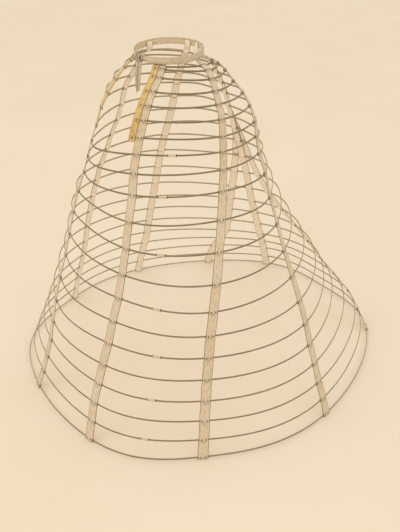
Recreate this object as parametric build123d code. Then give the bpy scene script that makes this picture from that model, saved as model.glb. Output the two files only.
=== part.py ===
from build123d import *
import math, os

# Cage crinoline: 21 covered steel hoops carried on nine woven tapes that hang
# from a waistband. Frame: origin at the middle of the waistband's opening, +Z up,
# -Y to the wearer's front, +X to the wearer's left. Millimetres.

# ---- driving dimensions -------------------------------------------------
HOOP_H = 4.6            # height of the flat covered steel
HOOP_T = 2.2            # its thickness
BAND_A = 94.0           # waistband outer half width, side to side
BAND_B = 87.0           # waistband outer half depth, front to back
BAND_H = 17.0           # waistband height
BAND_T = 2.4            # waistband thickness
BAND_TILT = 5.5         # degrees the band dips, toward the front left
BAND_DIP_AZ = 35.0      # direction of that dip, degrees from the front toward the left
BAND_GAP = 15.0         # gap between the band's ends, under the knot
TAPE_TH = 1.0           # one ply of tape
TAPE_TOP_W = 17.0       # tape width at the first hoop
TAPE_HEM_W = 28.0       # tape width at the hem
POCKET_LIP = 3.4        # cloth above and below a hoop that closes its pocket
FACING_W = 18.0         # leather facing beside the front opening
FACING_TH = 1.5
FACING_TAIL = 12.0      # facing below its last hoop
RIVET_HEAD_R = 1.7
RIVET_SHANK_R = 0.8
RIVET_HEAD_H = 0.7
RIVET_BACK_H = 0.5
SLEEVE_L = 24.0         # crimped sleeve that joins a hoop's ends
SLEEVE_H = 7.4
SLEEVE_WALL = 1.1
OPEN_HOOPS = 7          # hoops above this number stop at the front opening
TAIL_W = 14.0           # hanging end of the waist tie
TAIL_TH = 1.2
TAIL_TURN = 38.0        # degrees its face turns to the wearer's left
TAIL_POINTS = ((9.0, -93.5, -11.0), (17.0, -96.5, -21.0), (18.4, -100.5, -36.0), (19.3, -104.2, -52.0), (23.4, -107.5, -68.0), (27.0, -110.5, -87.0))
ARC_DEG = (0, 11, 22, 45, 68, 90, 112, 131, 150, 165, 180)   # ends of a hoop's arc pairs, one side

# Where the plan points of a hoop lie, in degrees round from the front centre.
PLAN_DEG = (0, 22, 68, 112, 132, 150, 180)
# One row per hoop, top to hem: height z, front centre y, five side points
# (x, y) at 22, 68, 112, 132 and 150 degrees, back centre y. The other side mirrors.
HOOPS = (
    (-20.0, -85.9, 60.2, -70.7, 117.1, 25.1, 67.4, 80.3, 37.5, 84.4, 17.1, 82.4, 79.4),
    (-25.6, -94.8, 74.0, -69.7, 146.0, 21.0, 85.3, 89.5, 54.3, 100.1, 31.5, 101.2, 99.2),
    (-41.9, -109.6, 88.4, -81.6, 165.4, 18.0, 103.8, 100.4, 72.5, 116.2, 46.5, 120.2, 118.8),
    (-68.8, -132.2, 102.4, -107.6, 178.6, 15.8, 123.0, 113.1, 92.2, 133.1, 62.4, 139.6, 138.0),
    (-98.2, -158.7, 108.8, -128.7, 191.3, 15.0, 143.2, 127.4, 112.6, 151.4, 78.5, 159.0, 157.0),
    (-131.2, -187.0, 107.9, -142.2, 206.3, 15.6, 158.5, 137.3, 129.4, 166.7, 93.9, 177.8, 176.8),
    (-173.2, -209.4, 104.8, -153.3, 209.2, 16.9, 169.4, 143.0, 143.4, 178.3, 106.3, 194.7, 198.6),
    (-212.7, -227.7, 105.3, -167.5, 209.3, 16.5, 175.2, 141.6, 152.2, 182.9, 114.5, 207.6, 223.6),
    (-256.0, -236.2, 113.9, -186.5, 218.3, 9.4, 190.0, 139.7, 162.5, 186.0, 121.6, 222.4, 252.7),
    (-304.0, -243.3, 124.8, -203.7, 239.1, -6.8, 219.9, 141.0, 181.7, 191.7, 127.6, 235.1, 285.2),
    (-363.1, -250.3, 140.4, -228.8, 273.8, -30.7, 248.6, 139.1, 197.8, 199.8, 135.6, 255.4, 320.3),
    (-428.9, -264.6, 150.9, -244.7, 310.1, -59.3, 279.5, 143.1, 217.3, 220.5, 143.9, 285.8, 357.5),
    (-497.6, -285.9, 157.8, -259.9, 340.5, -87.6, 308.5, 150.2, 235.5, 248.1, 152.1, 324.4, 396.4),
    (-561.0, -310.8, 161.6, -276.5, 358.7, -111.2, 340.5, 160.8, 258.4, 282.0, 162.9, 369.7, 436.5),
    (-621.0, -335.8, 165.1, -300.5, 369.7, -129.5, 373.1, 171.1, 281.1, 313.5, 172.3, 413.4, 477.6),
    (-679.8, -358.6, 167.9, -322.8, 376.9, -142.7, 400.6, 177.7, 298.5, 337.8, 178.0, 451.0, 518.4),
    (-738.1, -375.8, 171.6, -344.9, 387.4, -155.1, 422.7, 180.8, 316.0, 360.2, 188.1, 487.9, 556.4),
    (-791.0, -389.2, 178.3, -363.3, 403.4, -168.1, 446.8, 183.7, 340.8, 387.9, 208.2, 530.1, 589.5),
    (-842.0, -406.1, 188.6, -383.1, 418.4, -177.3, 469.9, 185.7, 365.5, 413.0, 229.2, 568.6, 618.0),
    (-891.3, -424.8, 203.0, -398.2, 433.4, -185.9, 488.9, 189.1, 381.8, 427.5, 240.6, 591.2, 643.6),
    (-937.3, -445.6, 221.4, -413.3, 446.3, -193.9, 504.6, 193.7, 401.5, 443.9, 257.0, 612.1, 666.8),
)
# Where each tape crosses each hoop, in the same degrees, top to hem.
TAPES = {
    "front_right_tape": (338.1, 340.1, 342.1, 344.1, 346.1, 347.5, 348.2, 348.1, 347.2, 345.7, 344.0, 342.3, 341.4, 341.9, 343.9, 346.6, 349.1, 350.4, 351.3, 351.9, 352.3),
    "front_left_tape": (27.4, 22.9, 21.6, 21.2, 21.6, 21.8, 21.7, 22.0, 22.6, 23.4, 24.0, 23.5, 22.8, 22.5, 22.8, 23.2, 23.1, 22.6, 22.1, 21.5, 20.7),
    "side_front_left_tape": (67.3, 66.4, 67.0, 68.6, 69.1, 68.6, 68.7, 69.2, 69.5, 69.1, 68.2, 67.5, 67.4, 67.7, 68.1, 68.4, 68.4, 68.1, 67.6, 67.1, 66.7),
    "side_back_left_tape": (103.6, 107.2, 110.6, 113.7, 116.6, 119.2, 121.5, 123.3, 123.8, 122.7, 120.6, 118.0, 115.4, 113.2, 111.5, 110.9, 110.9, 110.9, 110.8, 110.9, 110.9),
    "centre_back_tape": (162.5, 163.5, 168.5, 172.6, 175.5, 178.6, 182.1, 185.8, 189.3, 191.9, 193.8, 196.0, 199.2, 202.7, 205.7, 207.8, 209.2, 210.4, 211.1, 211.2, 211.0),
    "side_back_right_tape": (235.0, 236.6, 241.2, 245.4, 249.1, 252.5, 254.9, 256.4, 256.9, 255.0, 252.9, 251.7, 251.3, 251.2, 251.1, 250.9, 250.8, 250.7, 250.7, 251.0, 251.3),
    "side_front_right_tape": (300.0, 296.4, 294.2, 294.9, 298.4, 303.5, 308.6, 312.6, 312.9, 309.3, 303.8, 297.8, 292.3, 288.7, 286.9, 286.1, 285.4, 284.6, 284.1, 283.9, 283.7),
    "back_right_tape": (None,) * 7 + (185.6, 189.7, 193.9, 198.2, 203.2, 208.8, 214.0, 217.8, 220.3, 222.4, 225.0, 227.5, 228.9, 229.7),
    "back_left_tape": (None,) * 7 + (185.8, 187.0, 188.5, 189.1, 188.6, 186.9, 183.2, 178.9, 174.0, 169.0, 163.7, 158.4, 153.2, 147.9),
}
# Two tapes start on hoop 8 over the centre back tape: how far each stands off hoops 8
# to 11, where it crosses the tapes below, and how much further its upper end does.
STAND_OFF = {"back_right_tape": ((1.3, 1.65, 2.0, 1.85), 1.2), "back_left_tape": ((2.5, 3.2, 2.65, 1.15), 2.7)}
# Where a strip goes under the band, degrees round the band; the others run straight up.
BAND_DEG = {"front_left_tape": 44.0, "side_front_left_tape": 113.0, "side_back_right_tape": 200.0, "side_front_right_tape": 272.0, "centre_back_tape": 178.0, "left_facing": 33.5}
# Hoops joined by a sleeve: index and where, degrees round from the front centre.
SLEEVED = {7: 38.1, 9: 37.5, 11: 40.1, 13: 40.8, 15: 46.0, 17: 46.8, 19: 44.4}

N = len(HOOPS)


# ---- closed cubic through the plan points ------------------------------
def solve(a, b):
    n = len(b)
    a = [row[:] + [b[i]] for i, row in enumerate(a)]
    for i in range(n):
        p = max(range(i, n), key=lambda r: abs(a[r][i]))
        a[i], a[p] = a[p], a[i]
        for r in range(i + 1, n):
            f = a[r][i] / a[i][i]
            for c in range(i, n + 1):
                a[r][c] -= f * a[i][c]
    x = [0.0] * n
    for i in range(n - 1, -1, -1):
        x[i] = (a[i][n] - sum(a[i][c] * x[c] for c in range(i + 1, n))) / a[i][i]
    return x


KNOTS = [math.radians(d) for d in PLAN_DEG] + [math.radians(360 - d) for d in PLAN_DEG[-2:0:-1]]
NK = len(KNOTS)
SPAN = [(KNOTS[(k + 1) % NK] - KNOTS[k]) % (2 * math.pi) for k in range(NK)]


def second_derivatives(v):
    a = [[0.0] * NK for _ in range(NK)]
    b = [0.0] * NK
    for k in range(NK):
        h0, h1 = SPAN[k - 1], SPAN[k]
        a[k][k - 1] += h0
        a[k][k] += 2 * (h0 + h1)
        a[k][(k + 1) % NK] += h1
        b[k] = 6 * ((v[(k + 1) % NK] - v[k]) / h1 - (v[k] - v[k - 1]) / h0)
    return solve(a, b)


class Loop:
    """A closed plan curve; at(deg) gives (x, y) and the unit tangent."""

    def __init__(self, xs, ys):
        self.v = (xs, ys)
        self.m = (second_derivatives(xs), second_derivatives(ys))

    def at(self, deg):
        t = math.radians(deg) % (2 * math.pi)
        k = max(i for i in range(NK) if KNOTS[i] <= t + 1e-12)
        h, u = SPAN[k], t - KNOTS[k]
        out, der = [], []
        for v, m in zip(self.v, self.m):
            a, b, ma, mb = v[k], v[(k + 1) % NK], m[k], m[(k + 1) % NK]
            out.append(ma * (h - u) ** 3 / (6 * h) + mb * u ** 3 / (6 * h)
                       + (a / h - ma * h / 6) * (h - u) + (b / h - mb * h / 6) * u)
            der.append(-ma * (h - u) ** 2 / (2 * h) + mb * u ** 2 / (2 * h)
                       - (a / h - ma * h / 6) + (b / h - mb * h / 6))
        n = math.hypot(*der)
        return (out[0], out[1]), (der[0] / n, der[1] / n)


def hoop_loop(i):
    r = HOOPS[i]
    xs = [0.0, r[2], r[4], r[6], r[8], r[10], 0.0, -r[10], -r[8], -r[6], -r[4], -r[2]]
    ys = [r[1], r[3], r[5], r[7], r[9], r[11], r[12], r[11], r[9], r[7], r[5], r[3]]
    return Loop(xs, ys)


LOOPS = [hoop_loop(i) for i in range(N)]


# ---- tangent arcs -------------------------------------------------------
def dot(a, b):
    return a[0] * b[0] + a[1] * b[1]


def arc_mid(p, t, q):
    """Middle of the arc that leaves p along t and ends at q."""
    c = (q[0] - p[0], q[1] - p[1])
    L = math.hypot(*c)
    u = (c[0] / L, c[1] / L)
    n = (-u[1], u[0])
    phi = math.atan2(dot(t, n), dot(t, u))
    s = L / 2 * math.tan(phi / 2)
    return ((p[0] + q[0]) / 2 + n[0] * s, (p[1] + q[1]) / 2 + n[1] * s)


def arc_end_tangent(p, t, q):
    c = (q[0] - p[0], q[1] - p[1])
    L = math.hypot(*c)
    u = (c[0] / L, c[1] / L)
    k = 2 * dot(t, u)
    return (k * u[0] - t[0], k * u[1] - t[1])


def arcs_through(nodes):
    """nodes: [(point, tangent)...] -> [(p, tangent, q)...], two arcs a span."""
    out = []
    for (p0, t0), (p1, t1) in zip(nodes[:-1], nodes[1:]):
        v = (p1[0] - p0[0], p1[1] - p0[1])
        t = (t0[0] + t1[0], t0[1] + t1[1])
        den = 2 * (1 - dot(t0, t1))
        vt = dot(v, t)
        if den < 1e-9:
            d = dot(v, v) / (2 * vt)
        else:
            d = (-vt + math.sqrt(vt * vt + den * dot(v, v))) / den
        m = ((p0[0] + d * t0[0] + p1[0] - d * t1[0]) / 2, (p0[1] + d * t0[1] + p1[1] - d * t1[1]) / 2)
        out.append((p0, t0, m))
        out.append((m, arc_end_tangent(p0, t0, m), p1))
    return out


def shifted(p, t, s):
    """s to the outside: right of a tangent that runs from the front to the left."""
    return (p[0] + t[1] * s, p[1] - t[0] * s)


def ring_edges(arcs, s):
    edges = []
    for p, t, q in arcs:
        tq = arc_end_tangent(p, t, q)
        m = arc_mid(p, t, q)
        c = (q[0] - p[0], q[1] - p[1])
        L = math.hypot(*c)
        tm = (c[0] / L, c[1] / L)
        edges.append((shifted(p, t, s), shifted(m, tm, s), shifted(q, tq, s)))
    return edges


def arc_wire_edges(pts, z):
    return [Edge.make_three_point_arc((a[0], a[1], z), (m[0], m[1], z), (b[0], b[1], z)) for a, m, b in pts]


def closed_ring(loop, s_in, s_out, z0, h):
    nodes = [loop.at(d) for d in ARC_DEG + tuple(360 - d for d in ARC_DEG[-2:0:-1])]
    nodes.append(nodes[0])
    arcs = arcs_through(nodes)
    outer = Wire(arc_wire_edges(ring_edges(arcs, s_out), z0))
    inner = Wire(arc_wire_edges(ring_edges(arcs, s_in), z0))
    return extrude(Face(outer, [inner]), amount=h, dir=(0, 0, 1))


def open_ring(loop, d0, d1, s_in, s_out, z0, h, n=18):
    nodes = [loop.at(d0 + (d1 - d0) * k / n) for k in range(n + 1)]
    arcs = arcs_through(nodes)
    o = ring_edges(arcs, s_out)
    i = ring_edges(arcs, s_in)
    edges = arc_wire_edges(o, z0)
    edges.append(Edge.make_line((*o[-1][2], z0), (*i[-1][2], z0)))
    edges += arc_wire_edges([(b, m, a) for a, m, b in reversed(i)], z0)
    edges.append(Edge.make_line((*i[0][0], z0), (*o[0][0], z0)))
    return extrude(Face(Wire(edges)), amount=h, dir=(0, 0, 1))


# ---- waistband ----------------------------------------------------------
DIP = (math.sin(math.radians(BAND_DIP_AZ)), -math.cos(math.radians(BAND_DIP_AZ)))
SLOPE = math.tan(math.radians(BAND_TILT))


def band_z(x, y):
    return -(x * DIP[0] + y * DIP[1]) * SLOPE


def band_at(theta_deg, s=0.0):
    """Point and tangent on the band's outer face, s outside it."""
    t = math.radians(theta_deg)
    p = (BAND_A * math.sin(t), -BAND_B * math.cos(t))
    d = (BAND_A * math.cos(t), BAND_B * math.sin(t))
    n = math.hypot(*d)
    d = (d[0] / n, d[1] / n)
    return shifted(p, d, s), d


def make_band():
    gap = math.degrees(BAND_GAP / 2 / BAND_A)
    n = 20
    nodes = [band_at(gap + (360 - 2 * gap) * k / n) for k in range(n + 1)]
    arcs = arcs_through(nodes)
    o, i = ring_edges(arcs, 0.0), ring_edges(arcs, -BAND_T)
    z0 = -BAND_H / 2
    edges = arc_wire_edges(o, z0)
    edges.append(Edge.make_line((*o[-1][2], z0), (*i[-1][2], z0)))
    edges += arc_wire_edges([(b, m, a) for a, m, b in reversed(i)], z0)
    edges.append(Edge.make_line((*i[0][0], z0), (*o[0][0], z0)))
    flat = extrude(Face(Wire(edges)), amount=BAND_H, dir=(0, 0, 1))
    axis = Axis((0, 0, 0), (-DIP[1], DIP[0], 0))   # level line of the band
    return flat.rotate(axis, BAND_TILT)


band = make_band()


# ---- tapes --------------------------------------------------------------
def vsub(a, b):
    return (a[0] - b[0], a[1] - b[1], a[2] - b[2])


def vadd(a, b, s=1.0):
    return (a[0] + b[0] * s, a[1] + b[1] * s, a[2] + b[2] * s)


def vdot(a, b):
    return a[0] * b[0] + a[1] * b[1] + a[2] * b[2]


def vcross(a, b):
    return (a[1] * b[2] - a[2] * b[1], a[2] * b[0] - a[0] * b[2], a[0] * b[1] - a[1] * b[0])


def vunit(a):
    n = math.sqrt(vdot(a, a))
    return (a[0] / n, a[1] / n, a[2] / n)


def tape_width(i):
    return TAPE_TOP_W + (TAPE_HEM_W - TAPE_TOP_W) * i / (N - 1)


def arc_step(i, deg, dist):
    """Degrees after walking dist along hoop i from deg (positive toward the left)."""
    step = 0.25 if dist > 0 else -0.25
    (p, _), left = LOOPS[i].at(deg), abs(dist)
    while left > 0:
        (q, _) = LOOPS[i].at(deg + step)
        d = math.hypot(q[0] - p[0], q[1] - p[1])
        if d >= left:
            return deg + step * left / d
        left -= d
        deg += step
        p = q
    return deg


def crossing(degs, i):
    (x, y), (tx, ty) = LOOPS[i].at(degs[i])
    return (x, y, HOOPS[i][0]), (tx, ty, 0.0)


def local_frame(degs, i, lo, above=None):
    """Crossing i: centre, hoop tangent T, path direction V (down), outward normal n,
    the hoop section's reach along n and along V, and the width stretch of a slanted tape."""
    p, T = crossing(degs, i)
    a = crossing(degs, i - 1)[0] if i > lo else (above or p)
    b = crossing(degs, i + 1)[0] if i < N - 1 else p
    U = vunit(vsub(b, a))
    n = vunit(vcross(T, U))
    if vdot(n, (p[0], p[1], 60.0)) < 0:
        n = (-n[0], -n[1], -n[2])
    V = vunit(vcross(n, T))
    if vdot(V, U) < 0:
        V = (-V[0], -V[1], -V[2])
    stretch = 1.0 / max(0.6, abs(vdot(U, V)))
    half = tape_width(i) * stretch / 2
    corners = []
    for walk in (-half, -half / 2, 0.0, half / 2, half):
        (x, y), (tx, ty) = LOOPS[i].at(arc_step(i, degs[i], walk))
        for side in (-1, 1):
            for up in (-1, 1):
                corners.append((x + ty * side * HOOP_T / 2 - p[0], y - tx * side * HOOP_T / 2 - p[1], up * HOOP_H / 2))
    reach_n = 0.0
    for q in (a, b):
        if q == p:
            continue
        run = vunit(vsub(p, q))
        m = vunit(vcross(T, run))
        if vdot(m, n) < 0:
            m = (-m[0], -m[1], -m[2])
        reach_n = max(reach_n, max(vdot(c, m) for c in corners) / vdot(n, m))
    reach_v = HOOP_T / 2 * abs(T[1] * V[0] - T[0] * V[1]) + HOOP_H / 2 * abs(V[2])
    return p, T, V, n, reach_n, reach_v, stretch


def rect(c, T, n, w, th):
    return [vadd(vadd(c, T, a * w / 2), n, b * th / 2) for a, b in ((-1, -1), (1, -1), (1, 1), (-1, 1))]


def flat(pts):
    return Face(Wire.make_polygon([Vector(*p) for p in pts], close=True))


def strip(sections):
    """Flat-faceted solid through four-cornered sections."""
    faces = [flat(sections[0]), flat(sections[-1])]
    for a, b in zip(sections[:-1], sections[1:]):
        for k in range(4):
            j = (k + 1) % 4
            if k == 2:      # the outer face folds on the same line as the inner one
                faces.append(flat((a[k], a[j], b[k])))
                faces.append(flat((a[j], b[j], b[k])))
            else:
                faces.append(flat((a[k], a[j], b[j])))
                faces.append(flat((a[k], b[j], b[k])))
    return Solid(Shell(faces))


def rivet(p, n, top, bottom, clinch):
    """A rivet along n from bottom to top: head outside, shank, and a clinch head if it goes right through."""
    pl = Plane(origin=p, z_dir=n)
    pts = [(0, bottom), (RIVET_SHANK_R, bottom), (RIVET_SHANK_R, top), (RIVET_HEAD_R, top),
           (RIVET_HEAD_R, top + RIVET_HEAD_H * 0.5), (RIVET_HEAD_R * 0.6, top + RIVET_HEAD_H), (0, top + RIVET_HEAD_H)]
    if clinch:
        r = RIVET_HEAD_R * 0.85
        pts = [(0, bottom - RIVET_BACK_H), (r, bottom - RIVET_BACK_H), (r, bottom)] + pts[1:]
    outline = Face(Wire.make_polygon([Vector(x, 0, z) for x, z in pts], close=True))
    low = bottom - 0.6 if clinch else bottom
    pin = Cylinder(RIVET_SHANK_R, top + 0.6 - low)
    return pl * revolve(outline, axis=Axis.Z), pl * (Pos(0, 0, (top + 0.6 + low) / 2) * pin)


def band_entry(first, name):
    """Where a tape goes under the band's lower edge and up its inner face."""
    (x, y, _z), _t = first
    th = BAND_DEG.get(name, math.degrees(math.atan2(x / BAND_A, -y / BAND_B)))
    p, d = band_at(th, -BAND_T - TAPE_TH / 2 - 0.25)
    z = band_z(*p)
    n = (d[1], -d[0], 0.0)
    return (p[0], p[1]), (d[0], d[1], 0.0), n, z


hoop_cuts = [[] for _ in range(N)]
tape_rivets = []
tapes = {}
for name, degs in TAPES.items():
    lo = next(i for i in range(N) if degs[i] is not None)
    stand_off, end_off = STAND_OFF.get(name, ((), 0.0))
    sections, pockets, cuts = [], [], []
    above = None
    if lo == 0:
        (bx, by), bT, bn, bz = band_entry(crossing(degs, 0), name)
        above = (bx, by, bz - BAND_H / 2 - 0.6)
        w0 = tape_width(0)
        sections.append(rect((bx, by, bz + 4.0), bT, bn, w0, TAPE_TH))
        sections.append(rect((bx, by, bz - BAND_H / 2 - 0.9), bT, bn, w0, TAPE_TH))
    for i in range(lo, N):
        p, T, V, n, rn, rv, st = local_frame(degs, i, lo, above)
        w = tape_width(i) * st
        lift = stand_off[i - lo] if i - lo < len(stand_off) else 0.0
        c = vadd(p, n, rn + TAPE_TH / 2 + 0.05 + lift)
        if i == lo and stand_off:
            # the fanned tape starts a little above its first hoop
            sections.append(rect(vadd(vadd(c, V, -14.0), n, end_off), T, n, w, TAPE_TH))
        sections.append(rect(c, T, n, w, TAPE_TH))
        if i == N - 1:
            sections.append(rect(vadd(c, V, rv + POCKET_LIP), T, n, w, TAPE_TH))
        if lift == 0.0:
            t_in, t_out = rn + TAPE_TH, rn + TAPE_TH * 0.6
            L = 2 * (rv + POCKET_LIP * (0.55 if i < 2 else 1.0))
            pc = vadd(p, n, (t_out - t_in) / 2)
            pockets.append((i, Plane(origin=pc, x_dir=T, z_dir=n) * Box(w - 0.8, L, t_in + t_out)))
            for s in (-0.22, 0.22):
                q = vadd(p, T, s * w)
                solid, cut = rivet(q, n, rn + TAPE_TH + 0.15, rn + 0.25, False)
                tape_rivets.append(solid)
                cuts.append(cut)
    tapes[name] = (strip(sections), pockets, cuts)

# ---- facings beside the front opening ------------------------------------
facing_rivets = []
facings = {}
hoop_ends = {}
for name, tape, side in (("left_facing", "front_left_tape", -1), ("right_facing", "front_right_tape", 1)):
    degs = TAPES[tape]
    fdeg = []
    for i in range(OPEN_HOOPS):
        off = tape_width(i) / 2 + FACING_W / 2 + 0.4
        fdeg.append(arc_step(i, degs[i], side * off))
    full = tuple(fdeg) + tuple(arc_step(i, degs[i], side * (tape_width(i) / 2 + FACING_W / 2 + 0.4)) for i in range(OPEN_HOOPS, N))
    (bx, by), bT, bn, bz = band_entry(crossing(full, 0), name)
    above = (bx, by, bz - BAND_H / 2 - 0.6)
    sections = [rect((bx, by, bz + 3.0), bT, bn, FACING_W, FACING_TH),
                rect((bx, by, bz - BAND_H / 2 - 1.2), bT, bn, FACING_W, FACING_TH)]
    cuts = []
    for i in range(OPEN_HOOPS):
        p, T, V, n, rn, rv, st = local_frame(full, i, 0, above)
        c = vadd(p, n, rn + FACING_TH / 2 + 0.05)
        sections.append(rect(c, T, n, FACING_W, FACING_TH))
        solid, cut = rivet(p, n, rn + FACING_TH + 0.15, -rn - 0.15, True)
        facing_rivets.append(solid)
        cuts.append(cut)
        hoop_cuts[i].append(cut)
        hoop_ends[(i, side)] = arc_step(i, full[i], side * (FACING_W / 2 - 1.5))
        if i == OPEN_HOOPS - 1:
            for d, w in ((4.0, FACING_W), (FACING_TAIL - 4, FACING_W * 0.86), (FACING_TAIL - 1, FACING_W * 0.58), (FACING_TAIL, FACING_W * 0.3)):
                sections.append(rect(vadd(c, V, d), T, n, w, FACING_TH))
    facings[name] = (strip(sections), cuts)

# ---- hoops --------------------------------------------------------------
hoops = []
for i in range(N):
    z0 = HOOPS[i][0] - HOOP_H / 2
    if i < OPEN_HOOPS:
        a, b = hoop_ends[(i, -1)], hoop_ends[(i, 1)]
        ring = open_ring(LOOPS[i], a, b if b > a else b + 360, -HOOP_T / 2, HOOP_T / 2, z0, HOOP_H)
    else:
        ring = closed_ring(LOOPS[i], -HOOP_T / 2, HOOP_T / 2, z0, HOOP_H)
    hoops.append(ring)

# ---- sleeves that join hoop ends -----------------------------------------
sleeves = []
for i, deg in SLEEVED.items():
    a = arc_step(i, deg, -SLEEVE_L / 2)
    b = arc_step(i, deg, SLEEVE_L / 2)
    s = open_ring(LOOPS[i], a, b, -HOOP_T / 2 - SLEEVE_WALL, HOOP_T / 2 + SLEEVE_WALL, HOOPS[i][0] - SLEEVE_H / 2, SLEEVE_H, n=2)
    sleeves.append(s - hoops[i])

# ---- pierce and pocket ----------------------------------------------------
tape_solids = {}
for name, (ribbon, pockets, cuts) in tapes.items():
    body = Part() + ribbon
    boxes = [box - hoops[i] for i, box in pockets]
    body = body + boxes
    body = body - (cuts + ([band, hoops[0]] if pockets[0][0] == 0 else []))
    tape_solids[name] = body
facing_solids = {}
for name, (ribbon, cuts) in facings.items():
    facing_solids[name] = (Part() + ribbon) - (cuts + [band, hoops[0]])
facing_solids["left_facing"] -= tape_solids["front_left_tape"]
facing_solids["right_facing"] -= tape_solids["front_right_tape"]
hoops = [h - c if c else h for h, c in zip(hoops, hoop_cuts)]     # ends of the open hoops, under the facings

# ---- knot and hanging end --------------------------------------------------
FRONT = (0.0, -BAND_B, band_z(0.0, -BAND_B))
knot = Pos(2.0, -BAND_B - 3.2, FRONT[2] - 2.0) * Box(26, 13.0, 19)
knot = fillet(knot.edges(), 5.6)
knot = knot - band
sections = []
for k, c in enumerate(TAIL_POINTS):
    T = (math.cos(math.radians(TAIL_TURN)), math.sin(math.radians(TAIL_TURN)), 0.0)
    n = (T[1], -T[0], 0.0)
    sections.append(rect(c, T, n, TAIL_W * (0.75 if k == 0 else 1.0), TAIL_TH))
tail = Part() + strip(sections)
tail = tail - knot

# ---- write ----------------------------------------------------------------
os.makedirs("parts", exist_ok=True)


def write(shape, name):
    solids = [x for x in shape.solids() if x.volume > 0.5]
    body = Compound(children=list(solids)) if len(solids) > 1 else solids[0]
    export_step(body, "parts/" + name + ".step")
    print(name, len(solids), round(sum(s.volume for s in solids), 1))


for i, h in enumerate(hoops):
    write(h, "hoop_%02d" % (i + 1))
for name, s in tape_solids.items():
    write(s, name)
for name, s in facing_solids.items():
    write(s, name)
write(band, "waistband")
write(knot, "waist_knot")
write(tail, "tie_tail")
write(Compound(children=[s for r in tape_rivets for s in r.solids()]), "tape_rivets")
write(Compound(children=[s for r in facing_rivets for s in r.solids()]), "facing_rivets")
write(Compound(children=[s for r in sleeves for s in r.solids()]), "hoop_sleeves")
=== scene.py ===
import bpy
import bmesh
import math
from mathutils import Vector, Matrix


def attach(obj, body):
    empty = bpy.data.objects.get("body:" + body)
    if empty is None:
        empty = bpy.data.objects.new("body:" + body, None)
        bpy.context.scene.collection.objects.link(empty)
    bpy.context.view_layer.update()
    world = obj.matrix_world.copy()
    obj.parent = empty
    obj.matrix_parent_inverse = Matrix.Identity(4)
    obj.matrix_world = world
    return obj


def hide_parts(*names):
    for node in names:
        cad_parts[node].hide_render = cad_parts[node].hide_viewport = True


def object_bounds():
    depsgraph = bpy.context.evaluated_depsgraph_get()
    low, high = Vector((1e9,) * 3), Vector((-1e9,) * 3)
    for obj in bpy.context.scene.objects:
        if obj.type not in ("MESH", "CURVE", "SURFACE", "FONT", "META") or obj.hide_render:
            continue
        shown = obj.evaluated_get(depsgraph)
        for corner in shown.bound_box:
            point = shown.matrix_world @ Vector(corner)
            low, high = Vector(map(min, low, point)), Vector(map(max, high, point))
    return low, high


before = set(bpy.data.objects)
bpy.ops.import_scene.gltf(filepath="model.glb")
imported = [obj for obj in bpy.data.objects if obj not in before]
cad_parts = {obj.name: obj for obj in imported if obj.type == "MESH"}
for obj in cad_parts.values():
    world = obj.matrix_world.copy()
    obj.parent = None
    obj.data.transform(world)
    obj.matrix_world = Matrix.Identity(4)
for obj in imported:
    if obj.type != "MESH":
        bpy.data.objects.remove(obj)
cad_lo, cad_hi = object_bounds()
MM = 0.001

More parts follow.
